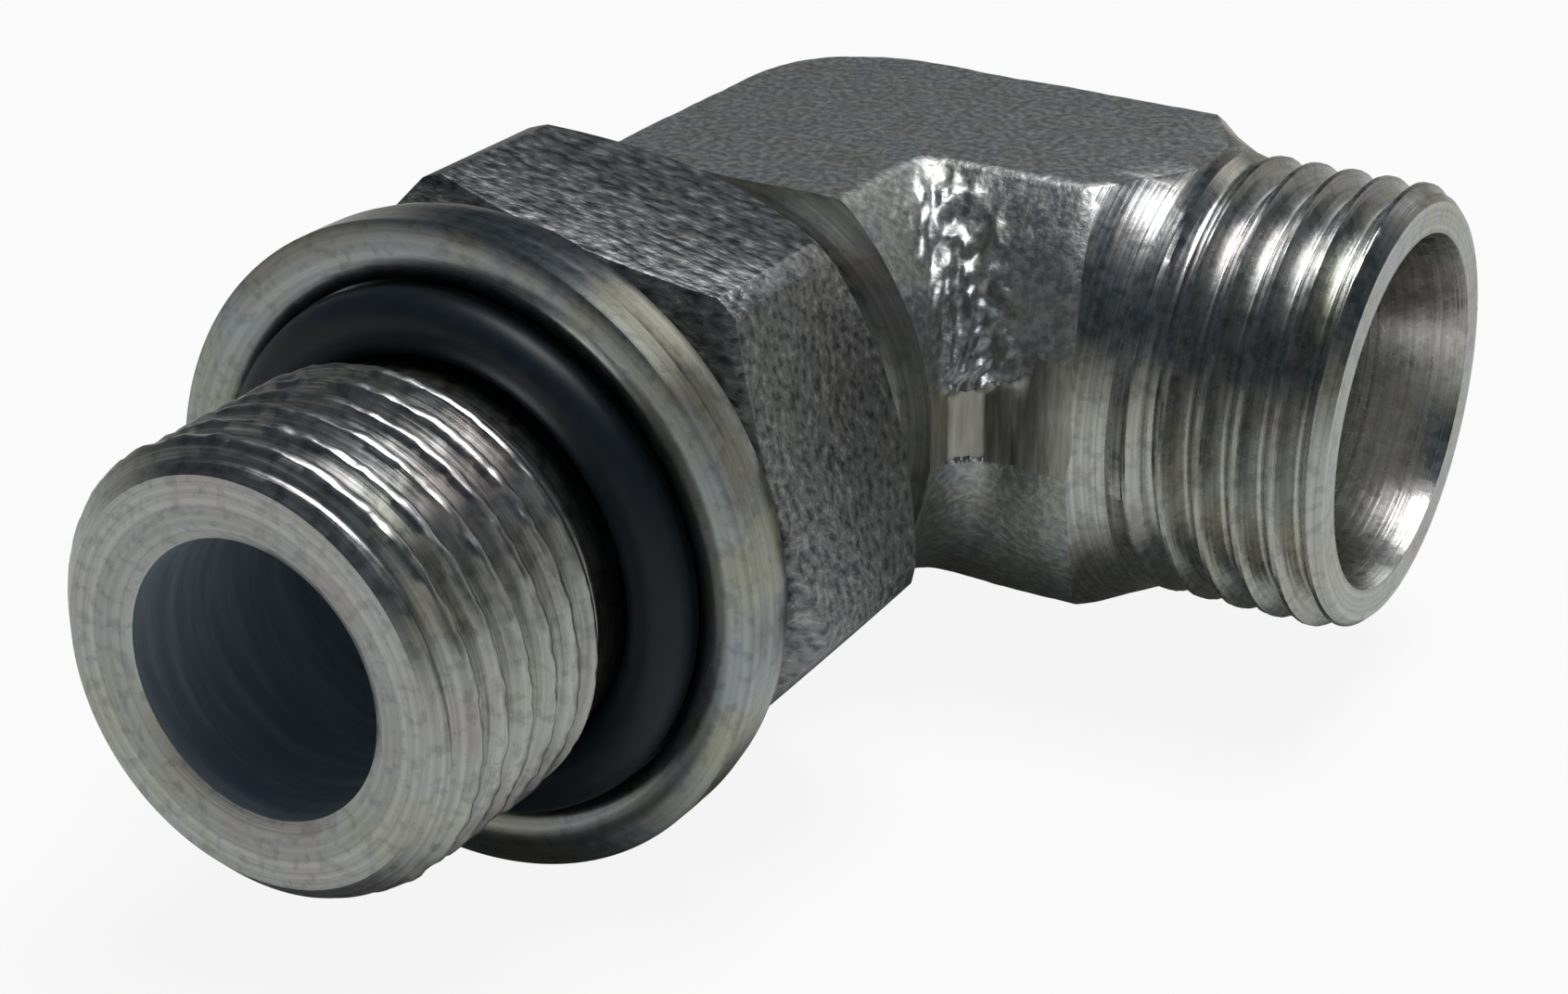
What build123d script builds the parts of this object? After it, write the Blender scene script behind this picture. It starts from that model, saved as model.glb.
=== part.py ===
from build123d import *
import math
import os

# Adjustable 90 degree elbow fitting, in millimetres.
# The origin is where the two port axes cross. The stud points along -Y, the tube end along +X, the top is +Z.
# A length named _y is a distance from the origin along -Y, and one named _x a distance along +X.

# Stud end, G 3/8 A, with a plain neck for the seal
stud_thread_radius = 8.331
stud_face_y = 40.5
stud_chamfer_length = 1.0
stud_chamfer_depth = 1.021
front_thread_length = 7.9
neck_depth = 0.931
neck_length = 4.8
neck_taper_length = 1.4
neck_step_chamfer = 0.3

# Tube end, M18 x 1.5, with a 24 degree cone for a 12 mm tube
tube_thread_radius = 8.975
tube_face_x = 24.27
tube_face_radius = 8.37
tube_chamfer_length = 0.6
cone_mouth_radius = 7.15
cone_half_angle = 12.0
socket_radius = 6.0
socket_length = 1.6
socket_step_chamfer = 0.2

# Bores
bore_radius = 5.0
bore_mouth_radius = 5.65
bore_mouth_depth = 0.4
drill_half_angle = 59.0

# Forged block, two barrel-shaped arms that meet in a round knuckle
across_flats = 18.0
knuckle_bulge = 1.4
flash_trim = 0.07
inner_flat_inset = 3.4
inner_belly_inset = 0.85
inner_belly_drop = 3.1
inner_bulge = 0.72
stud_arm_beyond = 2.13
inside_corner_radius = 2.0
top_edge_radius = 0.7

# Turned shoulder between the block and the tube thread
shoulder_beyond = 5.93
shoulder_length = 2.45
shoulder_start_step = 0.05
shoulder_bend_length = 1.55
shoulder_bend_rise = 0.84
shoulder_edge_length = 1.1
shoulder_edge_rise = 0.54
shoulder_end_step = 0.04

# Thread relief and run-out beside the shoulder
relief_length = 0.55
relief_depth = 0.12

# Locknut
nut_wall_thickness = 2.619
nut_corner_trim = 0.25
nut_turn_angle = 78.4
nut_rear_y = 16.1
nut_length = 9.0
nut_collar_length = 1.3
nut_collar_inset = 0.8
nut_front_chamfer_angle = 25.0
nut_front_face_inset = 0.26
nut_rear_face_inset = 0.2
nut_bore_chamfer = 0.6
thread_clearance = 0.05

# Retaining ring
ring_rear_gap = 0.1
ring_web_thickness = 1.4
ring_length = 2.85
ring_wall_thickness = 2.2
ring_band_length = 1.3
ring_rear_drop = 0.14
ring_crown_drop = 0.02
ring_burr_step = 0.1
ring_lip_height = 0.3
ring_mouth_chamfer = 0.25
ring_bore_clearance = 0.17

# O-ring
o_ring_section = 2.5
o_ring_clearance = 0.05

# Derived sizes
half_flats = across_flats / 2
knuckle_radius = half_flats + knuckle_bulge
inner_flat_reach = half_flats - inner_flat_inset
inner_belly_reach = half_flats - inner_belly_inset
inner_belly_height = half_flats - inner_belly_drop
inner_reach = half_flats + inner_bulge
stud_arm_y = inner_reach + stud_arm_beyond
shoulder_end_x = inner_reach + shoulder_beyond
shoulder_start_x = shoulder_end_x - shoulder_length
shoulder_start_radius = knuckle_radius + shoulder_start_step
shoulder_end_radius = half_flats + shoulder_end_step
stud_face_radius = stud_thread_radius - stud_chamfer_depth
neck_radius = stud_thread_radius - neck_depth
stud_chamfer_y = stud_face_y - stud_chamfer_length
front_thread_y = stud_face_y - front_thread_length
neck_front_y = front_thread_y - neck_taper_length
neck_rear_y = neck_front_y - neck_length
nut_face_y = nut_rear_y + nut_length
nut_front_y = nut_face_y + nut_collar_length
ring_rear_y = nut_front_y + ring_rear_gap
ring_front_y = ring_rear_y + ring_length
ring_band_y = ring_front_y - ring_band_length
ring_floor_y = ring_rear_y + ring_web_thickness
o_ring_inner_radius = neck_radius + o_ring_clearance
o_ring_middle_radius = o_ring_inner_radius + o_ring_section / 2
o_ring_middle_y = ring_floor_y + o_ring_clearance + o_ring_section / 2
ring_wall_radius = o_ring_inner_radius + o_ring_section + o_ring_clearance
ring_radius = ring_wall_radius + ring_wall_thickness
nut_flat_radius = stud_thread_radius + thread_clearance + nut_wall_thickness
nut_corner_radius = nut_flat_radius / math.cos(math.radians(30)) - nut_corner_trim
nut_front_face_radius = nut_flat_radius - nut_front_face_inset
nut_rear_face_radius = nut_flat_radius - nut_rear_face_inset
nut_collar_radius = nut_flat_radius - nut_collar_inset
socket_mouth_x = tube_face_x - (cone_mouth_radius - socket_radius) / math.tan(math.radians(cone_half_angle))
socket_floor_x = socket_mouth_x - socket_length


# Corner points of a turned profile, as (radius, distance from the origin), about the stud's axis
def turned_on_stud(corners):
    outline = Polyline(*[(radius, -along) for radius, along in corners], close=True)
    return revolve(make_face(outline), Axis.Y)


# The same about the tube end's axis
def turned_on_tube(corners):
    outline = Polyline(*[(along, radius) for radius, along in corners], close=True)
    return revolve(make_face(outline), Axis.X)


# Point of the knuckle's round outline at a height above the parting plane
def knuckle_point(height):
    return (math.sqrt(knuckle_radius**2 - height**2), height)


# Upper half of an arm's cross-section, its inner side towards local +X
def half_arm_section():
    outer_flat_reach = knuckle_point(half_flats)[0]
    inner_foot = (inner_flat_reach, half_flats)
    inner = ThreePointArc(inner_foot, (inner_belly_reach, inner_belly_height), (inner_reach, 0))
    flat = Line((-outer_flat_reach, half_flats), (inner_flat_reach, half_flats))
    outer = mirror(knuckle_side(), about=Plane.YZ)
    parting = Line((-knuckle_radius, 0), (inner_reach, 0))
    return make_face(Curve() + [inner, flat, outer, parting])


# Round side of the knuckle, from its flat down to the parting plane
def knuckle_side():
    return ThreePointArc(knuckle_point(half_flats), knuckle_point(half_flats / 2), knuckle_point(0))


def half_knuckle():
    flat_reach = knuckle_point(half_flats)[0]
    flat = Line((flat_reach, half_flats), (0, half_flats))
    middle = Line((0, half_flats), (0, 0))
    parting = Line((0, 0), (knuckle_radius, 0))
    return revolve(Plane.XZ * make_face(Curve() + [knuckle_side(), flat, middle, parting]), Axis.Z)


# The crease where the two arms meet on the inside of the bend
def inside_crease(half):
    def on_crease(edge):
        middle = edge @ 0.5
        return abs(middle.X + middle.Y) < 0.05 and middle.X > inner_flat_reach / 2

    return half.edges().filter_by(on_crease)


# Rim of the flat, but for the two ends of the arms
def flat_rim(half):
    def on_rim(edge):
        middle = edge @ 0.5
        at_end = middle.Y < -stud_arm_y + 0.01 or middle.X > shoulder_end_x - 0.01
        return abs(middle.Z - half_flats) < 0.01 and not at_end

    return half.edges().filter_by(on_rim)


# Half of the forging, above the parting plane
def half_forging():
    tube_arm_plane = Plane(origin=(0, 0, 0), x_dir=(0, 1, 0), z_dir=(1, 0, 0))
    stud_arm = extrude(Plane.XZ * half_arm_section(), stud_arm_y)
    tube_arm = extrude(tube_arm_plane * mirror(half_arm_section(), about=Plane.YZ), shoulder_end_x)
    half = stud_arm + tube_arm + half_knuckle()
    half = fillet(inside_crease(half), inside_corner_radius)
    return fillet(flat_rim(half), top_edge_radius)


# Plan outline of the tool that trims the flash off the forging and leaves its land
def trimming_outline():
    outer_trim = knuckle_radius - flash_trim
    inner_trim = inner_reach - flash_trim
    corner = (inner_trim, -inner_trim)
    outline = Polyline(
        (-outer_trim, 0),
        (-outer_trim, -stud_arm_y),
        (inner_trim, -stud_arm_y),
        corner,
        (shoulder_end_x, -inner_trim),
        (shoulder_end_x, outer_trim),
        (0, outer_trim),
    )
    bend = RadiusArc((0, outer_trim), (-outer_trim, 0), -outer_trim)
    face = make_face(Curve() + [outline, bend])
    return fillet(face.vertices().sort_by_distance(corner)[0], inside_corner_radius)


# Everything that the shoulder's turning tool takes off the end of the tube arm
def shoulder_waste():
    start = (shoulder_start_x, shoulder_start_radius)
    bend = (shoulder_end_x - shoulder_bend_length, shoulder_end_radius + shoulder_bend_rise)
    edge = (shoulder_end_x - shoulder_edge_length, shoulder_end_radius + shoulder_edge_rise)
    end = (shoulder_end_x, shoulder_end_radius)
    beyond_radius = 2 * knuckle_radius
    outline = Curve() + ThreePointArc(start, bend, edge)
    outline += Line(edge, end)
    outline += Polyline(
        end,
        (tube_face_x, shoulder_end_radius),
        (tube_face_x, beyond_radius),
        (shoulder_start_x, beyond_radius),
        start,
    )
    return revolve(make_face(outline), Axis.X)


def forged_block():
    half = half_forging()
    forging = half + mirror(half, about=Plane.XY)
    trim = extrude(trimming_outline(), across_flats / 2, both=True)
    return (forging & trim) - shoulder_waste()


# Stud: rear thread, plain neck for the seal, taper and front thread
def stud():
    return turned_on_stud(
        [
            (0, stud_arm_y),
            (stud_thread_radius, stud_arm_y),
            (stud_thread_radius, neck_rear_y - neck_step_chamfer),
            (stud_thread_radius - neck_step_chamfer, neck_rear_y),
            (neck_radius, neck_rear_y),
            (neck_radius, neck_front_y),
            (stud_thread_radius, front_thread_y),
            (stud_thread_radius, stud_chamfer_y),
            (stud_face_radius, stud_face_y),
            (0, stud_face_y),
        ]
    )


def tube_end():
    relief_radius = tube_thread_radius - relief_depth
    relief_end_x = shoulder_end_x + relief_length
    return turned_on_tube(
        [
            (0, shoulder_end_x),
            (relief_radius, shoulder_end_x),
            (relief_radius, relief_end_x),
            (tube_thread_radius, relief_end_x + relief_depth),
            (tube_thread_radius, tube_face_x - tube_chamfer_length),
            (tube_face_radius, tube_face_x),
            (0, tube_face_x),
        ]
    )


# Stud bore, with its mouth chamfer and the drill's point past the crossing
def stud_bore():
    tip_length = bore_radius / math.tan(math.radians(drill_half_angle))
    return turned_on_stud(
        [
            (0, -tip_length),
            (bore_radius, 0),
            (bore_radius, stud_face_y - bore_mouth_depth),
            (bore_mouth_radius, stud_face_y),
            (bore_mouth_radius, stud_face_y + bore_mouth_depth),
            (0, stud_face_y + bore_mouth_depth),
        ]
    )


# Tube bore, with the tube's socket and the 24 degree cone
def tube_bore():
    tip_length = bore_radius / math.tan(math.radians(drill_half_angle))
    return turned_on_tube(
        [
            (0, -tip_length),
            (bore_radius, 0),
            (bore_radius, socket_floor_x),
            (socket_radius - socket_step_chamfer, socket_floor_x),
            (socket_radius, socket_floor_x + socket_step_chamfer),
            (socket_radius, socket_mouth_x),
            (cone_mouth_radius, tube_face_x),
            (cone_mouth_radius, tube_face_x + tube_chamfer_length),
            (0, tube_face_x + tube_chamfer_length),
        ]
    )


def elbow_body():
    return forged_block() + stud() + tube_end() - stud_bore() - tube_bore()


# Locknut: a hexagon under a turned outline, with a round collar that bears on the ring
def locknut():
    hexagon = Plane.XZ * RegularPolygon(nut_flat_radius, 6, major_radius=False, rotation=30)
    blank = extrude(hexagon, nut_front_y)
    blank = blank.rotate(Axis.Y, -nut_turn_angle)
    rear_chamfer_y = nut_rear_y + nut_corner_radius - nut_rear_face_radius
    front_rise = (nut_corner_radius - nut_front_face_radius) * math.tan(math.radians(nut_front_chamfer_angle))
    outline = turned_on_stud(
        [
            (0, nut_rear_y),
            (nut_rear_face_radius, nut_rear_y),
            (nut_corner_radius, rear_chamfer_y),
            (nut_corner_radius, nut_face_y - front_rise),
            (nut_front_face_radius, nut_face_y),
            (nut_collar_radius, nut_face_y),
            (nut_collar_radius, nut_front_y),
            (0, nut_front_y),
        ]
    )
    bore = stud_thread_radius + thread_clearance
    hole = turned_on_stud(
        [
            (0, nut_rear_y),
            (bore + nut_bore_chamfer, nut_rear_y),
            (bore, nut_rear_y + nut_bore_chamfer),
            (bore, nut_front_y - nut_bore_chamfer),
            (bore + nut_bore_chamfer, nut_front_y),
            (0, nut_front_y),
        ]
    )
    return (blank & outline) - hole


# Retaining ring: a pressed cup whose wall holds the O-ring, with a crowned lip and rim
def retaining_ring():
    bore = stud_thread_radius + ring_bore_clearance
    lip_inner_radius = ring_wall_radius + ring_mouth_chamfer
    lip_middle_radius = (lip_inner_radius + ring_radius) / 2
    crown_y = (ring_rear_y + ring_band_y) / 2
    rear = (ring_radius - ring_rear_drop, ring_rear_y)
    crown = (ring_radius - ring_crown_drop, crown_y)
    burr = (ring_radius - ring_burr_step, ring_band_y)
    lip_outer = (ring_radius, ring_front_y)
    lip_top = (lip_middle_radius, ring_front_y + ring_lip_height)
    lip_inner = (lip_inner_radius, ring_front_y)
    outline = Curve() + ThreePointArc(rear, crown, burr)
    outline += Polyline(burr, (ring_radius, ring_band_y), lip_outer)
    outline += ThreePointArc(lip_outer, lip_top, lip_inner)
    outline += Polyline(
        lip_inner,
        (ring_wall_radius, ring_front_y - ring_mouth_chamfer),
        (ring_wall_radius, ring_floor_y),
        (bore, ring_floor_y),
        (bore, ring_rear_y),
        rear,
    )
    return revolve(mirror(make_face(outline), about=Plane.XZ), Axis.Y)


def o_ring():
    section = Pos(o_ring_middle_radius, -o_ring_middle_y) * Circle(o_ring_section / 2)
    return revolve(section, Axis.Y)


os.makedirs("parts", exist_ok=True)
export_step(elbow_body(), "parts/elbow_body.step")
export_step(locknut(), "parts/locknut.step")
export_step(retaining_ring(), "parts/retaining_ring.step")
export_step(o_ring(), "parts/o_ring.step")
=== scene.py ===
import math

import bpy
from mathutils import Euler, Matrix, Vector, noise


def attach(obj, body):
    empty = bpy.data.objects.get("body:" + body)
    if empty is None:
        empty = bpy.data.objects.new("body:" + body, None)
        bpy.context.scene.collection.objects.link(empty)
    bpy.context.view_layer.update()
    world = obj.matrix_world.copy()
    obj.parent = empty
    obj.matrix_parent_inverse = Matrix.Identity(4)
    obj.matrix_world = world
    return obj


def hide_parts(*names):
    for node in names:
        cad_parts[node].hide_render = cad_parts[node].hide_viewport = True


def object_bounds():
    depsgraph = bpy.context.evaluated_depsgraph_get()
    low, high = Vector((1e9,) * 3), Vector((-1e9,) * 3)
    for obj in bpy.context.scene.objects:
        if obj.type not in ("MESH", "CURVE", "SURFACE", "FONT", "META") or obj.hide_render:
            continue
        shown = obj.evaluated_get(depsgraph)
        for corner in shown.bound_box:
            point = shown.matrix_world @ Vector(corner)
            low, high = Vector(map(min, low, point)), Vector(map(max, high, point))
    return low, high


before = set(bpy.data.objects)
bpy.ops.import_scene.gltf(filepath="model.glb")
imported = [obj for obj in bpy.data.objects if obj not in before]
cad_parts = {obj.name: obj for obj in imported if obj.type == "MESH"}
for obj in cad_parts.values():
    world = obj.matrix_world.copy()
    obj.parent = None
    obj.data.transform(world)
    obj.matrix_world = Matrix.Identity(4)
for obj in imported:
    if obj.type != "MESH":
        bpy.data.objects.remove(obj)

cadLow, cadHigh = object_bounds()
mm = 0.001
mergeGap = 0.002 * mm

# The stud points along -Y and the tube end along +X. A profile is a list of (radius, along) in mm,
# where along is the distance from the crossing of the two axes.
studAxis = {"radius": Vector((1, 0, 0)), "along": Vector((0, -1, 0)), "spin": (0, 1, 0), "screw": "Y"}
tubeAxis = {"radius": Vector((0, 0, 1)), "along": Vector((1, 0, 0)), "spin": (1, 0, 0), "screw": "X"}
turnSteps = 160


def pick(piece):
    bpy.ops.object.select_all(action="DESELECT")
    piece.select_set(True)
    bpy.context.view_layer.objects.active = piece


def applyModifier(piece, kind, settings):
    pick(piece)
    modifier = piece.modifiers.new(kind.lower(), kind)
    for key, value in settings.items():
        setattr(modifier, key, value)
    bpy.ops.object.modifier_apply(modifier=modifier.name)


# One edge chain through the profile's points, drawn from a plane shrunk to its middle
def drawChain(name, profile, axis):
    bpy.ops.object.select_all(action="DESELECT")
    bpy.ops.mesh.primitive_plane_add(size=mm, location=(0, 0, 0))
    piece = bpy.context.active_object
    piece.name = name
    places = [(axis["radius"] * radius + axis["along"] * along) * mm for radius, along in profile]
    bpy.ops.object.mode_set(mode="EDIT")
    bpy.ops.mesh.select_mode(type="VERT")
    bpy.ops.mesh.select_all(action="SELECT")
    bpy.ops.mesh.merge(type="CENTER")
    bpy.ops.transform.translate(value=places[0])
    for here, there in zip(places, places[1:]):
        bpy.ops.mesh.extrude_vertices_move(TRANSFORM_OT_translate={"value": there - here})
    bpy.ops.object.mode_set(mode="OBJECT")
    return piece


# Merges what lies in one place and turns the faces outwards
def tidyMesh(piece):
    pick(piece)
    bpy.ops.object.mode_set(mode="EDIT")
    bpy.ops.mesh.select_all(action="SELECT")
    bpy.ops.mesh.remove_doubles(threshold=mergeGap)
    bpy.ops.mesh.dissolve_degenerate(threshold=mergeGap / 4)
    bpy.ops.mesh.normals_make_consistent(inside=False)
    bpy.ops.object.mode_set(mode="OBJECT")


def turnProfile(name, profile, axis):
    piece = drawChain(name, profile, axis)
    bpy.ops.object.mode_set(mode="EDIT")
    bpy.ops.mesh.select_all(action="SELECT")
    bpy.ops.mesh.spin(
        steps=turnSteps, angle=2 * math.pi, center=(0, 0, 0), axis=axis["spin"], use_auto_merge=True
    )
    bpy.ops.object.mode_set(mode="OBJECT")
    tidyMesh(piece)
    return piece


def joinPieces(name, pieces):
    pick(pieces[0])
    for piece in pieces:
        piece.select_set(True)
    bpy.ops.object.join()
    pieces[0].name = name
    tidyMesh(pieces[0])
    return pieces[0]


def smoothShade(piece, degrees):
    pick(piece)
    bpy.ops.object.shade_smooth_by_angle(angle=math.radians(degrees))


# Height between the points of a stepped line, given as (along, value) from low to high
def readLine(points, along):
    if along <= points[0][0]:
        return points[0][1]
    for (a, low), (b, high) in zip(points, points[1:]):
        if along <= b:
            return low + (high - low) * (along - a) / (b - a)
    return points[-1][1]


# One pitch of a thread from root to root, as (share of the pitch, depth below the crest)
def toothShape(thread):
    slope = math.tan(math.radians(thread["flankAngle"]))
    flank = slope * (thread["depth"] - thread["crestRise"] - thread["rootRise"]) / thread["pitch"]
    crest = thread["crestShare"]
    root = 1 - crest - 2 * flank
    count = thread["arcPoints"]
    points = []
    for i in range(count + 1):  # rounded root, its second half first
        t = 0.5 * i / count
        points.append((root * t, thread["depth"] - thread["rootRise"] * (2 * t) ** 2))
    points.append((root / 2 + flank / 2, (points[-1][1] + thread["crestRise"]) / 2))
    for i in range(2 * count + 1):  # crest
        t = i / count - 1
        points.append((root / 2 + flank + crest * (t + 1) / 2, thread["crestRise"] * t * t))
    points.append((root / 2 + 1.5 * flank + crest, points[count + 1][1]))
    for i in range(count + 1):
        t = 0.5 * (1 - i / count)
        points.append((1 - root * t, thread["depth"] - thread["rootRise"] * (2 * t) ** 2))
    return points


# Share of a thread's depth, from its crest down, that wears, and how far the wear's noise is lifted
wornShare = 0.35
wearLift = 0.35


# A thread swept by a Screw modifier, then held between the ends of its zone and under its turned envelope
def cutThread(name, thread, axis):
    pitch, start, end = thread["pitch"], thread["start"], thread["end"]
    crestNumber = math.ceil((end - thread["crestAt"]) / pitch) + 1.5
    first = thread["crestAt"] + crestNumber * pitch
    turns = math.ceil((first - start) / pitch) + 2
    chain = [(thread["radius"] - depth, first - share * pitch) for share, depth in toothShape(thread)]
    piece = drawChain(name, chain, axis)
    back = -1 if axis is tubeAxis else 1
    screw = {
        "axis": axis["screw"], "screw_offset": back * pitch * mm, "iterations": turns,
        "angle": back * 2 * math.pi, "steps": turnSteps, "render_steps": turnSteps,
        "use_merge_vertices": False,
    }
    applyModifier(piece, "SCREW", screw)
    for vertex in piece.data.vertices:
        along = vertex.co.dot(axis["along"]) / mm
        across = vertex.co - axis["along"] * along * mm
        radius = across.length / mm
        depth = thread["radius"] - radius
        along = min(max(along, start), end)
        wear = thread["wear"] * (noise.noise(vertex.co / (thread["wearSize"] * mm)) + wearLift)
        radius = thread["radius"] - depth * readLine(thread["fade"], along)
        if depth < wornShare * thread["depth"]:
            radius -= max(wear, 0)
        radius = min(radius, readLine(thread["envelope"], along))
        vertex.co = axis["along"] * along * mm + across.normalized() * radius * mm
    tidyMesh(piece)
    return piece


# Stud end: rear thread, plain neck, front thread and the bored face
stud = {
    "face": 40.5, "faceRadius": 7.31, "mouthRadius": 5.65, "mouthDepth": 0.4, "bore": 5.0,
    "neckRadius": 7.4, "neckStart": 26.4, "neckEnd": 31.2, "root": 11.7, "rearStart": 11.95,
    "boreNear": 0.02,
}
studThread = {
    "radius": 8.331, "pitch": 1.337, "depth": 0.72, "flankAngle": 27.5, "crestRise": 0.05, "rootRise": 0.09,
    "crestShare": 0.3, "arcPoints": 3, "crestAt": 37.7, "wear": 0.11, "wearSize": 0.55,
    "start": 31.2, "end": 40.5, "fade": [(31.2, 1), (40.5, 1)],
    "envelope": [(31.2, 7.4), (32.6, 8.331), (39.5, 8.331), (40.5, 7.31)],
}
rearThread = dict(
    studThread, start=11.95, end=26.4, arcPoints=1, fade=[(11.95, 0), (13.2, 1), (26.4, 1)],
    envelope=[(11.95, 8.331), (26.1, 8.331), (26.4, 7.4)],
)


def makeStudEnd():
    inside = [
        (studThread["radius"], stud["rearStart"]), (studThread["radius"], stud["root"]),
        (stud["bore"], stud["root"]), (stud["bore"], stud["face"] - stud["mouthDepth"]),
        (stud["mouthRadius"], stud["face"]), (stud["faceRadius"], stud["face"]),
    ]
    neck = [(stud["neckRadius"], stud["neckStart"]), (stud["neckRadius"], stud["neckEnd"])]
    parts = [
        turnProfile("studInside", inside, studAxis),
        turnProfile("studNeck", neck, studAxis),
        cutThread("studFrontThread", studThread, studAxis),
        cutThread("studRearThread", rearThread, studAxis),
    ]
    piece = joinPieces("stud_end", parts)
    smoothShade(piece, 35)
    return piece


# Tube end: relief, thread and the 24 degree cone with its socket
tube = {
    "root": 15.5, "relief": 8.855, "threadStart": 16.2, "face": 24.27, "faceRadius": 8.37,
    "coneRadius": 7.15, "socketRadius": 6.0, "socketMouth": 18.86, "socketFloor": 17.26, "bore": 5.0,
}
tubeThread = {
    "radius": 8.975, "pitch": 1.5, "depth": 0.92, "flankAngle": 30, "crestRise": 0.0, "rootRise": 0.1,
    "crestShare": 0.125, "arcPoints": 3, "crestAt": 22.0, "wear": 0.03, "wearSize": 0.4,
    "start": 16.2, "end": 24.27, "fade": [(16.2, 0), (17.6, 1), (23.6, 1), (24.2, 0), (24.27, 0)],
    "envelope": [(16.2, 8.855), (16.32, 8.975), (23.67, 8.975), (24.27, 8.37)],
}


def makeTubeEnd():
    inside = [
        (tube["relief"], tube["threadStart"]), (tube["relief"], tube["root"]), (tube["bore"], tube["root"]),
        (tube["bore"], tube["socketFloor"]), (tube["socketRadius"], tube["socketFloor"]),
        (tube["socketRadius"], tube["socketMouth"]), (tube["coneRadius"], tube["face"]),
        (tube["faceRadius"], tube["face"]),
    ]
    parts = [turnProfile("tubeInside", inside, tubeAxis), cutThread("tubeThread", tubeThread, tubeAxis)]
    piece = joinPieces("tube_end", parts)
    smoothShade(piece, 35)
    return piece


# Forged block, remeshed from the CAD body so that its skin can be wrinkled, then turned and drilled again
block = {
    "studFace": 11.85, "skinCutY": 11.3, "skinCutX": 12.6, "sliceY": 12.6, "sliceX": 13.1,
    "shoulder": [(10.45, 13.2), (10.2, 13.68), (9.88, 14.1), (9.58, 14.55), (9.04, 15.65)],
    "shoulderEnd": 15.65, "voxel": 0.2, "drawnPast": 4.0,
    "bore": 5.0, "boreMargin": 0.1, "drillHalfAngle": 59, "studDrillReach": 14, "tubeDrillReach": 18,
}
# The turning tool's envelope round the tube arm, wide over the block and down to the shoulder
envelope = [
    (0, -14), (17, -14), (17, 12.0), (11.2, 12.0), *block["shoulder"], (0, block["shoulderEnd"]),
]
# How near, in mm, a face's middle lies to the surface that gives it its material
slotNear = {"face": 0.01, "bore": 0.05, "crossing": 5.2, "shoulderFrom": 13.15, "shoulder": 0.03}
# Forged skin: slow waves and fine grit everywhere, and relief along the crease of the inside corner
skin = {
    "waveHeight": 0.05, "waveSize": 3.0, "gritHeight": 0.018, "gritSize": 0.55,
    "reach": [(0, 9.72), (5.9, 8.15), (9.0, 5.6)], "near": 4.6, "out": 3.0,
    "clearOfCut": 0.1, "fadeLength": 0.5, "fineOut": 2.5, "fineFoot": -2, "fineClear": 0.5,
}
# Folds drawn out along a slant, strongest beside the crease and gone below the top flat
wrinkles = {
    "height": 0.42, "middle": 0.25, "width": 1.5, "lean": (0.82, 0.57), "stretch": 0.45, "layer": 7.3,
    "foldSize": 0.62, "foldDepth": 2.2, "foldShare": 0.6, "smallSize": 0.3, "smallShare": 0.35,
    "smallShift": (5.1, 2.7, 0), "top": 8.8, "topFade": 0.8,
}
# Soft lumps on the tube arm's front flank
lumps = {"height": 0.16, "size": 0.8, "top": 6.0, "fade": 1.5, "end": 12.4, "endFade": 0.8}
# Land left where the flash was sheared off, with a scalloped burr along its upper edge
land = {
    "top": [(8.4, 0.6), (9.0, 1.05), (10.2, 1.5), (11.2, 1.8), (12.4, 2.4), (13.9, 3.3)],
    "foot": -1.4, "end": 14.6, "from": 9.0, "reach": 9.63, "most": 0.2,
    "burr": 0.2, "burrWidth": 0.22, "scallop": 0.55, "scallopSwing": 0.9, "scallopSize": 0.55,
    "scallopLeast": 0.1, "scallopLayer": (3.1, 8.8),
    "stripHeight": 0.025, "stripSize": 0.35, "stripLength": 4, "stripLayer": 1.3,
}


def cutAway(piece, place, normal):
    pick(piece)
    bpy.ops.object.mode_set(mode="EDIT")
    bpy.ops.mesh.select_all(action="SELECT")
    bpy.ops.mesh.bisect(plane_co=place, plane_no=normal, clear_outer=True)
    bpy.ops.object.mode_set(mode="OBJECT")


# The edge loop left by a cut is drawn on along the arm and closed
def drawOn(piece, axis, length):
    pick(piece)
    bpy.ops.object.mode_set(mode="EDIT")
    bpy.ops.mesh.select_mode(type="EDGE")
    bpy.ops.mesh.select_all(action="DESELECT")
    bpy.ops.mesh.select_non_manifold(extend=False)
    bpy.ops.mesh.extrude_edges_move(TRANSFORM_OT_translate={"value": axis["along"] * length * mm})
    bpy.ops.mesh.edge_face_add()
    bpy.ops.mesh.select_mode(type="VERT")
    bpy.ops.object.mode_set(mode="OBJECT")


# A boolean that fails gives an empty mesh and no error, so the script stops there
def combine(piece, tool, operation):
    applyModifier(piece, "BOOLEAN", {"operation": operation, "object": tool, "solver": "EXACT"})
    bpy.data.objects.remove(tool)
    if not piece.data.polygons:
        raise ValueError(f"{piece.name} came out empty")


def drill(name, axis, reach):
    tip = block["bore"] / math.tan(math.radians(block["drillHalfAngle"]))
    return turnProfile(name, [(0, -tip), (block["bore"], 0), (block["bore"], reach), (0, reach)], axis)


# Distance across and out from the inside corner's crease, both in mm
def nearCrease(x, y, z):
    reach = readLine(skin["reach"], abs(z))
    return (x + y) / math.sqrt(2), (x - y) / math.sqrt(2) - reach * math.sqrt(2)


def onLand(x, y, z):
    along, out = max(x, -y), min(x, -y)
    return out > land["from"] and along < land["end"] and land["foot"] < z < readLine(land["top"], along)


# From 0 at the start of a stretch to 1 at its end
def rise(distance, length):
    return min(1, max(0, distance / length))


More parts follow.
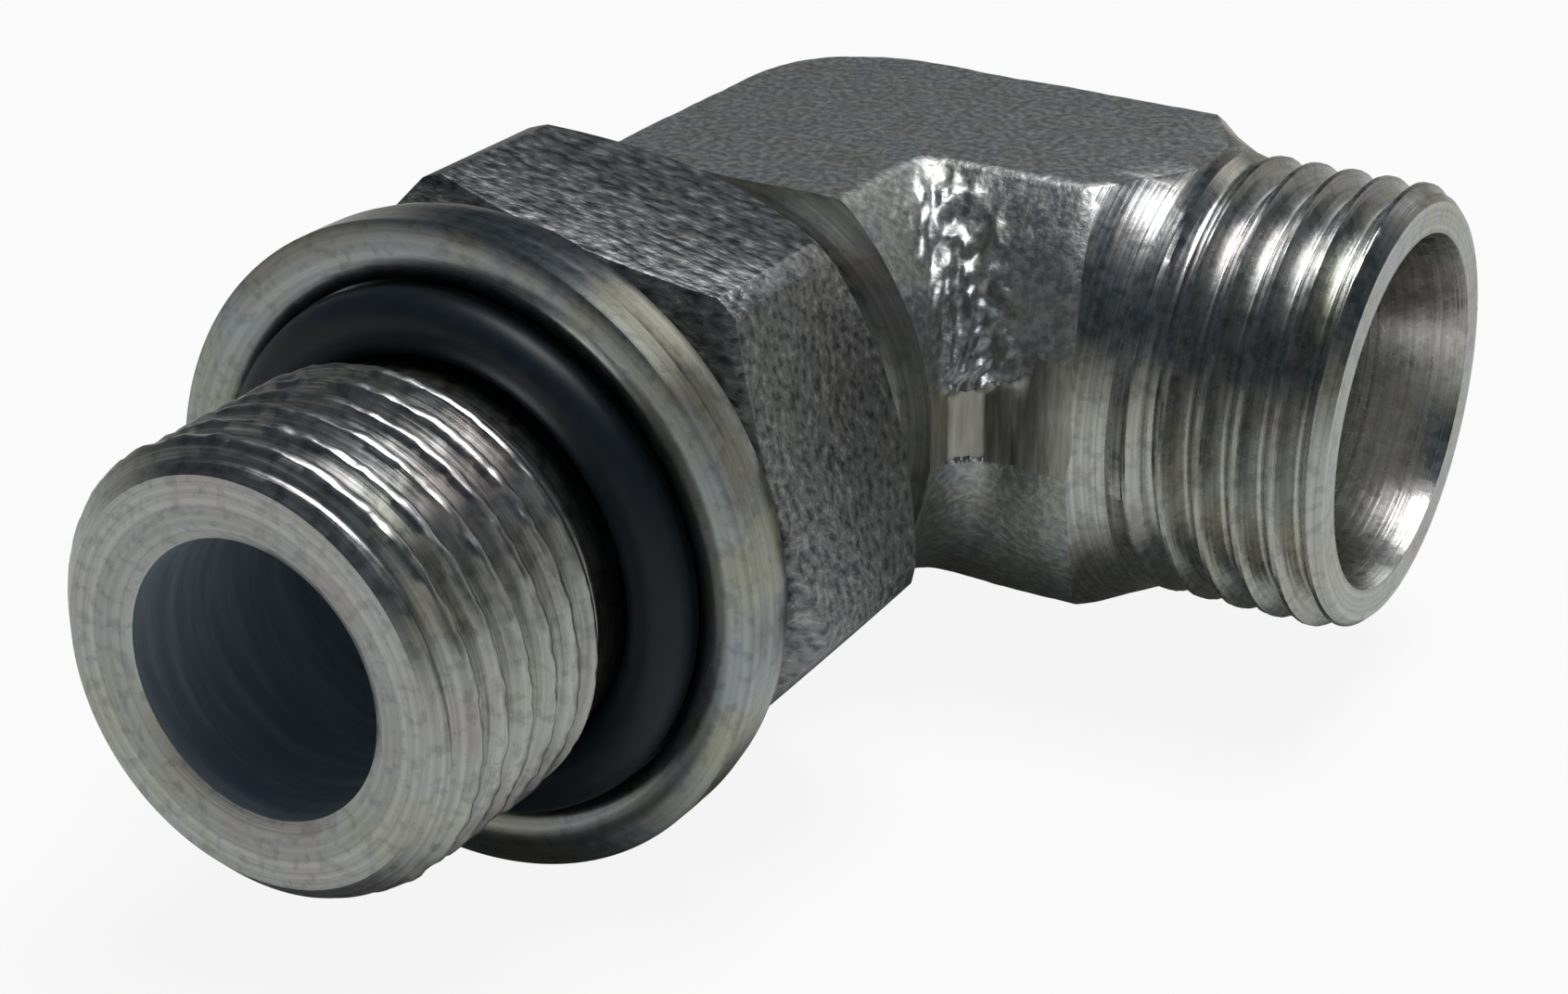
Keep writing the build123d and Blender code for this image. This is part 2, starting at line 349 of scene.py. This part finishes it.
def wrinkleHeight(across, z):
    cos, sin = wrinkles["lean"]
    leaned = Vector((
        cos * across - sin * z, (sin * across + cos * z) * wrinkles["stretch"], wrinkles["layer"],
    ))
    folds = 1 - wrinkles["foldDepth"] * abs(noise.noise(leaned / wrinkles["foldSize"]))
    small = noise.noise(leaned / wrinkles["smallSize"] + Vector(wrinkles["smallShift"]))
    near = math.exp(-((across - wrinkles["middle"]) ** 2) / wrinkles["width"] ** 2)
    fade = rise(wrinkles["top"] - z, wrinkles["topFade"])
    shape = wrinkles["foldShare"] * folds + wrinkles["smallShare"] * small
    return near * fade * wrinkles["height"] * shape


def lumpHeight(place, across, along, z):
    patch = (
        min(1, across / lumps["fade"]) * min(1, (lumps["top"] - z) / lumps["fade"])
        * rise(lumps["end"] - along, lumps["endFade"])
    )
    return lumps["height"] * patch * noise.noise(place / (lumps["size"] * mm))


def landHeight(along, reached, z):
    strips = land["stripHeight"] * noise.noise(
        Vector((along / land["stripSize"], land["stripLayer"], z / land["stripLength"]))
    )
    return min(max(land["reach"] - reached, -land["most"]), land["most"]) + strips


def burrHeight(along, above):
    scallop = land["scallop"] + land["scallopSwing"] * noise.noise(
        Vector((along / land["scallopSize"], *land["scallopLayer"]))
    )
    edge = math.exp(-((above / land["burrWidth"]) ** 2))
    return land["burr"] * edge * max(scallop, land["scallopLeast"])


# How far the forged skin stands out at a place, in mm
def skinHeight(place):
    x, y, z = place / mm
    waves = skin["waveHeight"] * (noise.noise(place / (skin["waveSize"] * mm)) - 1)
    plain = waves + skin["gritHeight"] * noise.noise(place / (skin["gritSize"] * mm))
    across, out = nearCrease(x, y, z)
    if abs(across) > skin["near"] or abs(out) > skin["out"]:
        return plain
    # the relief fades out before each cut, so that the cut's edge stays one clean loop
    clear = min(block["skinCutY"] + y, block["skinCutX"] - x) - skin["clearOfCut"]
    ends = rise(clear, skin["fadeLength"])
    if ends == 0:
        return plain
    height = plain
    along, reached = max(x, -y), min(x, -y)
    landTop = readLine(land["top"], along)
    if z > landTop:
        height += wrinkleHeight(across, z)
        if across > 0 and z < lumps["top"]:
            height += lumpHeight(place, across, along, z)
    if reached > land["from"]:
        if land["foot"] < z < landTop:
            height = landHeight(along, reached, z)
        height += burrHeight(along, z - landTop)
    return plain + (height - plain) * ends


# Slot of each face of the drilled block: 0 forged, 1 turned face, 2 turned shoulder, 3 bore, 4 sheared land
def blockSlot(x, y, z):
    fromStud, fromTube = math.hypot(x, z), math.hypot(y, z)
    if y < slotNear["face"] - block["studFace"]:
        return 1
    inBore = min(fromStud, fromTube) < block["bore"] + slotNear["bore"]
    if inBore and max(x, -y) > -block["bore"] and min(x, -y) > -slotNear["crossing"]:
        return 3
    shoulder = readLine([(along, radius) for radius, along in block["shoulder"]], x)
    if x > slotNear["shoulderFrom"] and abs(fromTube - shoulder) < slotNear["shoulder"]:
        return 2
    return 4 if onLand(x, y, z) else 0


def makeBlock():
    bpy.ops.object.select_all(action="DESELECT")
    piece = bpy.data.objects.new("forged_block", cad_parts["elbow_body"].data.copy())
    bpy.context.scene.collection.objects.link(piece)
    piece.data.materials.clear()
    tidyMesh(piece)
    cutAway(piece, (0, -block["sliceY"] * mm, 0), (0, -1, 0))
    cutAway(piece, (block["sliceX"] * mm, 0, 0), (1, 0, 0))
    inner = (block["bore"] + block["boreMargin"]) * mm
    for face in piece.data.polygons:
        x, y, z = face.center
        face.select = (math.hypot(x, z) < inner and y < inner) or (math.hypot(y, z) < inner and x > -inner)
    bpy.ops.object.mode_set(mode="EDIT")
    bpy.ops.mesh.select_mode(type="FACE")
    bpy.ops.mesh.delete(type="FACE")
    bpy.ops.mesh.select_mode(type="VERT")
    bpy.ops.mesh.select_all(action="SELECT")
    bpy.ops.mesh.fill_holes(sides=0)
    bpy.ops.object.mode_set(mode="OBJECT")
    tidyMesh(piece)
    applyModifier(piece, "REMESH", {"mode": "VOXEL", "voxel_size": block["voxel"] * mm})
    print("block skin", len(piece.data.polygons), "faces")
    # finer faces in the corner, kept off both cuts, whose edges would not close across them
    for face in piece.data.polygons:
        x, y, z = face.center / mm
        across, out = nearCrease(x, y, z)
        clear = min(block["skinCutY"] + y, block["skinCutX"] - x)
        inCorner = abs(across) < skin["near"] and abs(out) < skin["fineOut"] and z > skin["fineFoot"]
        face.select = inCorner and clear > skin["fineClear"]
    bpy.ops.object.mode_set(mode="EDIT")
    bpy.ops.mesh.select_mode(type="FACE")
    bpy.ops.mesh.subdivide(number_cuts=1)
    bpy.ops.mesh.select_mode(type="VERT")
    bpy.ops.object.mode_set(mode="OBJECT")
    print("block skin, finer in the corner", len(piece.data.polygons), "faces")
    normals = [vertex.normal.copy() for vertex in piece.data.vertices]
    for vertex, normal in zip(piece.data.vertices, normals):
        vertex.co += normal * skinHeight(vertex.co) * mm
    cutAway(piece, (0, -block["skinCutY"] * mm, 0), (0, -1, 0))
    drawOn(piece, studAxis, block["studFace"] - block["skinCutY"])
    cutAway(piece, (block["skinCutX"] * mm, 0, 0), (1, 0, 0))
    drawOn(piece, tubeAxis, block["drawnPast"])
    tidyMesh(piece)
    combine(piece, turnProfile("shoulderTool", envelope, tubeAxis), "INTERSECT")
    combine(piece, drill("studDrill", studAxis, block["studDrillReach"]), "DIFFERENCE")
    combine(piece, drill("tubeDrill", tubeAxis, block["tubeDrillReach"]), "DIFFERENCE")
    tidyMesh(piece)
    smoothShade(piece, 40)
    return piece


# Locknut: a hexagon under a turned outline, with a collar at its front
nut = {
    "flats": 22.0, "turn": 78.4, "rear": 16.1, "face": 25.1, "front": 26.4, "cornerTrim": 0.25,
    "rearRadius": 10.8, "faceRadius": 10.74, "faceAngle": 25, "collar": 10.2, "bore": 8.38,
    "boreChamfer": 0.6, "edgeRound": 0.07, "roundAbove": 18, "barLength": 14,
}


def makeNut():
    corner = nut["flats"] / 2 / math.cos(math.radians(30)) - nut["cornerTrim"]
    chamfer = (corner - nut["faceRadius"]) * math.tan(math.radians(nut["faceAngle"]))
    wide = nut["bore"] + nut["boreChamfer"]
    profile = [
        (wide, nut["rear"]), (nut["rearRadius"], nut["rear"]),
        (corner, nut["rear"] + corner - nut["rearRadius"]), (corner, nut["face"] - chamfer),
        (nut["faceRadius"], nut["face"]), (nut["collar"], nut["face"]), (nut["collar"], nut["front"]),
        (wide, nut["front"]), (nut["bore"], nut["front"] - nut["boreChamfer"]),
        (nut["bore"], nut["rear"] + nut["boreChamfer"]), (wide, nut["rear"]),
    ]
    piece = turnProfile("lock_nut", profile, studAxis)
    middle = (nut["rear"] + nut["front"]) / 2
    bpy.ops.mesh.primitive_cylinder_add(
        vertices=6, radius=nut["flats"] / math.sqrt(3) * mm, depth=nut["barLength"] * mm,
        rotation=(math.pi / 2, 0, 0),
    )
    hexagon = bpy.context.active_object
    bpy.ops.object.transform_apply(location=True, rotation=True, scale=True)
    flatAngle = math.radians(nut["turn"])
    hexagon.rotation_euler = (0, -flatAngle, 0)
    hexagon.location = (0, -middle * mm, 0)
    bpy.ops.object.transform_apply(location=True, rotation=True, scale=True)
    combine(piece, hexagon, "INTERSECT")
    tidyMesh(piece)
    rounding = {
        "width": nut["edgeRound"] * mm, "segments": 2, "angle_limit": math.radians(nut["roundAbove"]),
    }
    applyModifier(piece, "BEVEL", rounding)
    smoothShade(piece, 30)
    return piece


# Retaining ring, a pressed cup with a crowned lip
ring = {
    "rear": 26.5, "front": 29.35, "band": 28.05, "floor": 27.9, "wall": 10.0, "outer": 12.194,
    "bore": 8.501, "rearDrop": 0.14, "rearRound": (0.1, 0.08), "crownDrop": 0.02,
    "burrStep": 0.1, "burrLength": 0.05, "lip": 0.3, "mouth": 0.25, "lipPoints": 8,
}


def makeRing():
    crown = (ring["rear"] + ring["band"]) / 2
    lipIn, lipOut = ring["wall"] + ring["mouth"], ring["outer"]
    base = ring["front"] - ring["lip"]
    roundIn, roundAlong = ring["rearRound"]
    profile = [
        (ring["bore"], ring["rear"]), (ring["outer"] - ring["rearDrop"] - roundIn, ring["rear"]),
        (ring["outer"] - ring["rearDrop"], ring["rear"] + roundAlong),
        (ring["outer"] - ring["crownDrop"], crown),
        (ring["outer"] - ring["burrStep"], ring["band"] - ring["burrLength"]),
        (ring["outer"], ring["band"]),
    ]
    for i in range(ring["lipPoints"] + 1):
        t = i / ring["lipPoints"]
        profile.append((lipOut + (lipIn - lipOut) * t, base + ring["lip"] * math.sin(math.pi * t)))
    profile += [
        (ring["wall"], base - ring["mouth"]), (ring["wall"], ring["floor"]), (ring["bore"], ring["floor"]),
        (ring["bore"], ring["rear"]),
    ]
    piece = turnProfile("pressed_ring", profile, studAxis)
    smoothShade(piece, 25)
    return piece


# O-ring with the faint parting line of its mould
seal = {"middle": 8.7, "along": 29.2, "section": 2.5, "points": 40, "flash": 0.03}


def makeSeal():
    profile = []
    for i in range(seal["points"] + 1):
        turn = 2 * math.pi * i / seal["points"]
        radius = seal["section"] / 2 - seal["flash"] * (abs(math.cos(turn)) < 0.999)
        profile.append((seal["middle"] + radius * math.cos(turn), seal["along"] + radius * math.sin(turn)))
    piece = turnProfile("seal_ring", profile, studAxis)
    smoothShade(piece, 60)
    return piece


# Colours are written as sRGB hex values and turned to linear here
def linear(hexColour):
    parts = [int(hexColour[i : i + 2], 16) / 255 for i in (1, 3, 5)]
    return tuple(c / 12.92 if c <= 0.04045 else ((c + 0.055) / 1.055) ** 2.4 for c in parts) + (1.0,)


def addNode(tree, kind, settings=None, links=None):
    node = tree.nodes.new(kind)
    for key, value in (settings or {}).items():
        if isinstance(key, int) or key in node.inputs:
            node.inputs[key].default_value = value
        else:
            setattr(node, key, value)
    for key, source in (links or {}).items():
        tree.links.new(source, node.inputs[key])
    return node


def newMaterial(name):
    material = bpy.data.materials.new(name)
    material.use_nodes = True
    tree = material.node_tree
    tree.nodes.clear()
    coordinates = addNode(tree, "ShaderNodeTexCoord")
    return material, tree, coordinates.outputs["Object"]


def ramp(tree, source, stops):
    node = addNode(tree, "ShaderNodeValToRGB", links={"Fac": source})
    while len(node.color_ramp.elements) < len(stops):
        node.color_ramp.elements.new(0.5)
    for element, (place, colour) in zip(node.color_ramp.elements, stops):
        element.position = place
        element.color = linear(colour)
    return node.outputs["Color"]


def finishMetal(tree, colour, roughness, bump):
    shader = addNode(
        tree, "ShaderNodeBsdfPrincipled", {"Metallic": 1.0},
        {"Base Color": colour, "Roughness": roughness, "Normal": bump},
    )
    addNode(tree, "ShaderNodeOutputMaterial", links={"Surface": shader.outputs["BSDF"]})


# Forged, shot-blasted and zinc-plated steel: soft grey sheen broken by fine grit and slow waves.
# Its grit, like the other metals' lines and pits, is coarser than the real one, to show in the render.
def forgedZinc():
    material, tree, place = newMaterial("forgedBlastedZinc")
    gritSize, waveSize = 0.32, 2.2
    grit = addNode(
        tree, "ShaderNodeTexNoise", {"Scale": 1000 / gritSize, "Detail": 3.0}, {"Vector": place}
    )
    waves = addNode(
        tree, "ShaderNodeTexNoise", {"Scale": 1000 / waveSize, "Detail": 2.0}, {"Vector": place}
    )
    tint = ramp(tree, waves.outputs["Fac"], [(0.3, "#bdbdb5"), (0.5, "#c4c5c3"), (0.7, "#b9bec3")])
    specks = ramp(tree, grit.outputs["Fac"], [(0.36, "#c4c6c8"), (0.5, "#dadad8"), (0.62, "#f0f0ee")])
    colour = addNode(
        tree, "ShaderNodeMixRGB", {"blend_type": "MULTIPLY", "Fac": 1.0}, {"Color1": tint, "Color2": specks}
    )
    rough = addNode(
        tree, "ShaderNodeMapRange", {"To Min": 0.36, "To Max": 0.52}, {"Value": grit.outputs["Fac"]}
    )
    bump = addNode(
        tree, "ShaderNodeBump", {"Strength": 1.0, "Distance": 0.04 * mm}, {"Height": grit.outputs["Fac"]}
    )
    finishMetal(tree, colour.outputs["Color"], rough.outputs["Result"], bump.outputs["Normal"])
    return material


# Turned and zinc-plated steel: fine rings from the tool, with faint pink and straw tints of the passivation
def turnedZinc(name, along, across, lineSize, depth, tints, gloss):
    material, tree, place = newMaterial(name)
    flat = addNode(tree, "ShaderNodeVectorMath", {"operation": "MULTIPLY", 1: across}, {0: place})
    radius = addNode(tree, "ShaderNodeVectorMath", {"operation": "LENGTH"}, {0: flat.outputs["Vector"]})
    length = addNode(tree, "ShaderNodeVectorMath", {"operation": "DOT_PRODUCT", 1: along}, {0: place})
    slowSize, spotSize = 5.0, 0.5
    slow = addNode(
        tree, "ShaderNodeTexNoise", {"Scale": 1000 / slowSize, "Detail": 2.0}, {"Vector": place}
    )
    spots = addNode(
        tree, "ShaderNodeTexNoise", {"Scale": 1000 / spotSize, "Detail": 3.0}, {"Vector": place}
    )
    line = addNode(
        tree, "ShaderNodeCombineXYZ", {},
        {"X": radius.outputs["Value"], "Y": length.outputs["Value"]},
    )
    lines = addNode(
        tree, "ShaderNodeTexNoise", {"Scale": 1000 / lineSize, "Detail": 2.0},
        {"Vector": line.outputs["Vector"]},
    )
    tint = ramp(tree, slow.outputs["Fac"], list(zip((0.32, 0.5, 0.66), tints)))
    streaks = ramp(tree, lines.outputs["Fac"], [(0.36, "#dcddde"), (0.6, "#ffffff")])
    dulled = ramp(tree, spots.outputs["Fac"], [(0.36, "#e2e3e4"), (0.5, "#ffffff")])
    worn = addNode(
        tree, "ShaderNodeMixRGB", {"blend_type": "MULTIPLY", "Fac": 1.0},
        {"Color1": streaks, "Color2": dulled},
    )
    colour = addNode(
        tree, "ShaderNodeMixRGB", {"blend_type": "MULTIPLY", "Fac": 1.0},
        {"Color1": tint, "Color2": worn.outputs["Color"]},
    )
    smooth, dull = gloss
    rough = addNode(
        tree, "ShaderNodeMapRange", {"To Min": smooth, "To Max": dull}, {"Value": spots.outputs["Fac"]}
    )
    dents = addNode(
        tree, "ShaderNodeBump", {"Strength": 0.4, "Distance": 0.02 * mm}, {"Height": spots.outputs["Fac"]}
    )
    bump = addNode(
        tree, "ShaderNodeBump", {"Strength": 0.6, "Distance": depth * mm},
        {"Height": lines.outputs["Fac"], "Normal": dents.outputs["Normal"]},
    )
    finishMetal(tree, colour.outputs["Color"], rough.outputs["Result"], bump.outputs["Normal"])
    return material


# Rolled hexagon bar, zinc plated: a slate sheen with small bright pits drawn out along the bar
def rolledZinc():
    material, tree, place = newMaterial("rolledBarZinc")
    stretch = addNode(tree, "ShaderNodeMapping", {"Scale": (0.5, 1.0, 1.0)}, {"Vector": place})
    pitSize, slowSize = 0.34, 6.0
    pits = addNode(
        tree, "ShaderNodeTexNoise", {"Scale": 1000 / pitSize, "Detail": 3.0},
        {"Vector": stretch.outputs["Vector"]},
    )
    slow = addNode(tree, "ShaderNodeTexNoise", {"Scale": 1000 / slowSize}, {"Vector": place})
    tint = ramp(tree, slow.outputs["Fac"], [(0.35, "#b4b1ae"), (0.5, "#b4b5b5"), (0.65, "#b2b3ac")])
    specks = ramp(
        tree, pits.outputs["Fac"],
        [(0.34, "#8c9298"), (0.48, "#c8cacc"), (0.6, "#d8dadc"), (0.66, "#ffffff")],
    )
    colour = addNode(
        tree, "ShaderNodeMixRGB", {"blend_type": "MULTIPLY", "Fac": 1.0}, {"Color1": tint, "Color2": specks}
    )
    rough = addNode(
        tree, "ShaderNodeMapRange", {"To Min": 0.24, "To Max": 0.5}, {"Value": pits.outputs["Fac"]}
    )
    bump = addNode(
        tree, "ShaderNodeBump", {"Strength": 1.0, "Distance": 0.07 * mm}, {"Height": pits.outputs["Fac"]}
    )
    finishMetal(tree, colour.outputs["Color"], rough.outputs["Result"], bump.outputs["Normal"])
    return material


# Drilled bore under thin plating: a dark blue-grey wall with faint rings from the drill
def drilledSteel():
    material, tree, place = newMaterial("drilledDullSteel")
    ringSize = 0.5
    flat = addNode(tree, "ShaderNodeMapping", {"Scale": (0.1, 1.0, 0.1)}, {"Vector": place})
    rings = addNode(
        tree, "ShaderNodeTexNoise", {"Scale": 1000 / ringSize, "Detail": 3.0},
        {"Vector": flat.outputs["Vector"]},
    )
    tint = ramp(tree, rings.outputs["Fac"], [(0.4, "#95a2ae"), (0.7, "#b4bdc4")])
    bump = addNode(
        tree, "ShaderNodeBump", {"Strength": 0.5, "Distance": 0.03 * mm}, {"Height": rings.outputs["Fac"]}
    )
    shader = addNode(
        tree, "ShaderNodeBsdfPrincipled", {"Metallic": 0.25, "Roughness": 0.55},
        {"Base Color": tint, "Normal": bump.outputs["Normal"]},
    )
    addNode(tree, "ShaderNodeOutputMaterial", links={"Surface": shader.outputs["BSDF"]})
    return material


# Sheared steel, zinc plated: the smooth pale land under the burr, with upright marks from the trimming die
def shearedZinc():
    material, tree, place = newMaterial("shearedZinc")
    markSize = 0.3
    upright = addNode(tree, "ShaderNodeMapping", {"Scale": (1.0, 1.0, 0.12)}, {"Vector": place})
    marks = addNode(
        tree, "ShaderNodeTexNoise", {"Scale": 1000 / markSize, "Detail": 2.0},
        {"Vector": upright.outputs["Vector"]},
    )
    tint = ramp(tree, marks.outputs["Fac"], [(0.35, "#94928a"), (0.65, "#b2b1a9")])
    rough = addNode(
        tree, "ShaderNodeMapRange", {"To Min": 0.3, "To Max": 0.46}, {"Value": marks.outputs["Fac"]}
    )
    bump = addNode(
        tree, "ShaderNodeBump", {"Strength": 0.5, "Distance": 0.03 * mm}, {"Height": marks.outputs["Fac"]}
    )
    finishMetal(tree, tint, rough.outputs["Result"], bump.outputs["Normal"])
    return material


# Moulded black nitrile rubber: deep blue-black with a soft satin highlight
def nitrileRubber():
    material, tree, place = newMaterial("mouldedNitrileRubber")
    grainSize = 0.5
    grain = addNode(
        tree, "ShaderNodeTexNoise", {"Scale": 1000 / grainSize, "Detail": 2.0}, {"Vector": place}
    )
    tint = ramp(tree, grain.outputs["Fac"], [(0.3, "#141c24"), (0.7, "#1b242d")])
    bump = addNode(
        tree, "ShaderNodeBump", {"Strength": 0.3, "Distance": 0.01 * mm}, {"Height": grain.outputs["Fac"]}
    )
    shader = addNode(
        tree, "ShaderNodeBsdfPrincipled", {"Roughness": 0.42, "IOR": 1.5, "Specular IOR Level": 0.35},
        {"Base Color": tint, "Normal": bump.outputs["Normal"]},
    )
    addNode(tree, "ShaderNodeOutputMaterial", links={"Surface": shader.outputs["BSDF"]})
    return material


def dress(piece, materials):
    for material in materials:
        piece.data.materials.append(material)


forged = forgedZinc()
# Slow tints of the passivation: pink, grey and straw on turned steel, more even on the pressed ring
plainTints = ("#c6bfbb", "#c8c9c7", "#c5c3b7")
ringTints = ("#b1b0aa", "#aeb3b6", "#b4b3a4")
turnedStud = turnedZinc("turnedStudZinc", (0, 1, 0), (1, 0, 1), 0.2, 0.03, plainTints, (0.22, 0.42))
turnedTube = turnedZinc("turnedTubeZinc", (1, 0, 0), (0, 1, 1), 0.16, 0.02, plainTints, (0.2, 0.34))
pressed = turnedZinc("pressedRingZinc", (0, 1, 0), (1, 0, 1), 0.3, 0.01, ringTints, (0.2, 0.3))
drilled = drilledSteel()
sheared = shearedZinc()
print("materials made")

blockPiece = makeBlock()
dress(blockPiece, [forged, turnedStud, turnedTube, drilled, sheared])
for face in blockPiece.data.polygons:
    face.material_index = blockSlot(*(face.center / mm))
print("block made", len(blockPiece.data.polygons))
studPiece = makeStudEnd()
dress(studPiece, [turnedStud, drilled])
for face in studPiece.data.polygons:
    x, y, z = face.center / mm
    face.material_index = 1 if math.hypot(x, z) < stud["bore"] + stud["boreNear"] else 0
print("stud made", len(studPiece.data.polygons))
tubePiece = makeTubeEnd()
dress(tubePiece, [turnedTube])
print("tube end made", len(tubePiece.data.polygons))
nutPiece = makeNut()
dress(nutPiece, [rolledZinc()])
print("nut made", len(nutPiece.data.polygons))
ringPiece = makeRing()
dress(ringPiece, [pressed])
sealPiece = makeSeal()
dress(sealPiece, [nitrileRubber()])
print("ring and seal made")

for piece in (blockPiece, studPiece, tubePiece):
    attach(piece, "elbow")
    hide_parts("elbow_body")
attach(nutPiece, "nut")
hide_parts("locknut")
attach(ringPiece, "seal")
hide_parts("retaining_ring")
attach(sealPiece, "seal")
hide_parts("o_ring")

# Floor, and a tent round the object whose colours the metal reflects. A tone's share runs from the
# tent's foot to its top.
room = {
    "floorSize": 3.0, "floorColour": "#dcdcd8", "floorWhite": 0.9, "tentRadius": 0.6,
    "tones": [(0.35, "#a3a199"), (0.54, "#94938e"), (0.67, "#28313a"), (0.95, "#2c3640")],
    "worldColour": "#c8ccd0", "worldStrength": 0.6,
}
# Patches of the tent: a bright window behind and above, a pale wall beside it and a low one in front
patches = [
    {"towards": (0.21, 0.80, 0.57), "width": 0.973, "soft": 0.025, "colour": "#ffffff"},
    {"towards": (0.60, 0.80, -0.08), "width": 0.85, "soft": 0.1, "colour": "#9c9a96"},
    {"towards": (-0.43, -0.80, -0.42), "width": 0.8, "soft": 0.15, "colour": "#c6c4be"},
]


def makeFloor():
    bpy.ops.mesh.primitive_plane_add(size=room["floorSize"], location=(0, 0, cadLow.z))
    floor = bpy.context.active_object
    floor.name = "floor"
    material, tree, _ = newMaterial("paleFloor")
    path = addNode(tree, "ShaderNodeLightPath")
    seen = addNode(
        tree, "ShaderNodeMath", {"operation": "MULTIPLY", 1: room["floorWhite"]},
        {0: path.outputs["Is Camera Ray"]},
    )
    plain = addNode(tree, "ShaderNodeBsdfDiffuse", {"Color": linear(room["floorColour"])})
    white = addNode(tree, "ShaderNodeEmission", {"Color": (1, 1, 1, 1), "Strength": 1.0})
    mixed = addNode(
        tree, "ShaderNodeMixShader", {}, {0: seen.outputs[0], 1: plain.outputs[0], 2: white.outputs[0]}
    )
    addNode(tree, "ShaderNodeOutputMaterial", links={"Surface": mixed.outputs[0]})
    dress(floor, [material])


def makeTent():
    bpy.ops.mesh.primitive_uv_sphere_add(segments=48, ring_count=24, radius=room["tentRadius"])
    tent = bpy.context.active_object
    tent.name = "tent"
    material, tree, place = newMaterial("softTent")
    unit = addNode(tree, "ShaderNodeVectorMath", {"operation": "NORMALIZE"}, {0: place})
    split = addNode(tree, "ShaderNodeSeparateXYZ", links={0: unit.outputs[0]})
    height = addNode(
        tree, "ShaderNodeMapRange", {"From Min": -1.0, "From Max": 1.0}, {"Value": split.outputs["Z"]}
    )
    colour = ramp(tree, height.outputs["Result"], room["tones"])
    for patch in patches:
        towards = Vector(patch["towards"]).normalized()
        near = addNode(
            tree, "ShaderNodeVectorMath", {"operation": "DOT_PRODUCT", 1: towards}, {0: unit.outputs[0]}
        )
        share = addNode(
            tree, "ShaderNodeMapRange",
            {
                "interpolation_type": "SMOOTHSTEP",
                "From Min": patch["width"] - patch["soft"], "From Max": patch["width"] + patch["soft"],
            },
            {"Value": near.outputs["Value"]},
        )
        mixed = addNode(
            tree, "ShaderNodeMixRGB", {"Color2": linear(patch["colour"])},
            {"Fac": share.outputs["Result"], "Color1": colour},
        )
        colour = mixed.outputs["Color"]
    glow = addNode(tree, "ShaderNodeEmission", {"Strength": 1.0}, {"Color": colour})
    addNode(tree, "ShaderNodeOutputMaterial", links={"Surface": glow.outputs[0]})
    dress(tent, [material])
    tent.visible_camera = False


def makeWorld():
    world = bpy.data.worlds.new("studio")
    bpy.context.scene.world = world
    world.use_nodes = True
    tree = world.node_tree
    tree.nodes.clear()
    path = addNode(tree, "ShaderNodeLightPath")
    seen = path.outputs["Is Camera Ray"]
    for name in ("Is Glossy Ray", "Is Transmission Ray"):
        both = addNode(tree, "ShaderNodeMath", {"operation": "MAXIMUM"}, {0: seen, 1: path.outputs[name]})
        seen = both.outputs[0]
    dim = addNode(
        tree, "ShaderNodeBackground",
        {"Color": linear(room["worldColour"]), "Strength": room["worldStrength"]},
    )
    white = addNode(tree, "ShaderNodeBackground", {"Color": (1, 1, 1, 1), "Strength": 1.0})
    mixed = addNode(tree, "ShaderNodeMixShader", {}, {0: seen, 1: dim.outputs[0], 2: white.outputs[0]})
    addNode(tree, "ShaderNodeOutputWorld", links={"Surface": mixed.outputs[0]})


lamps = [
    {"name": "overhead", "place": (0.05, 0.05, 0.45), "size": 0.25, "power": 1.9, "colour": "#f6f8fa"},
]


def makeLamps():
    for lamp in lamps:
        light = bpy.data.lights.new(lamp["name"], "AREA")
        light.size = lamp["size"]
        light.energy = lamp["power"]
        light.color = linear(lamp["colour"])[:3]
        holder = bpy.data.objects.new(lamp["name"], light)
        bpy.context.scene.collection.objects.link(holder)
        holder.location = lamp["place"]
        holder.rotation_euler = (-Vector(lamp["place"])).to_track_quat("-Z", "Y").to_euler()


# Camera at the photograph's angle
view = {
    "place": (60.138, -107.636, 48.191), "turn": (64.9302, -0.9397, 29.0361), "lens": 71.303,
    "sensor": 36.0, "shift": -0.0677, "nearClip": 0.005,
}


def makeCamera():
    camera = bpy.data.cameras.new("camera")
    camera.lens = view["lens"]
    camera.sensor_width = view["sensor"]
    camera.shift_x = view["shift"]
    camera.clip_start = view["nearClip"]
    holder = bpy.data.objects.new("camera", camera)
    bpy.context.scene.collection.objects.link(holder)
    holder.location = Vector(view["place"]) * mm
    holder.rotation_euler = Euler([math.radians(angle) for angle in view["turn"]])
    bpy.context.scene.camera = holder


makeFloor()
makeTent()
makeWorld()
makeLamps()
makeCamera()
bpy.context.scene.view_settings.view_transform = "Standard"
print("studio made")
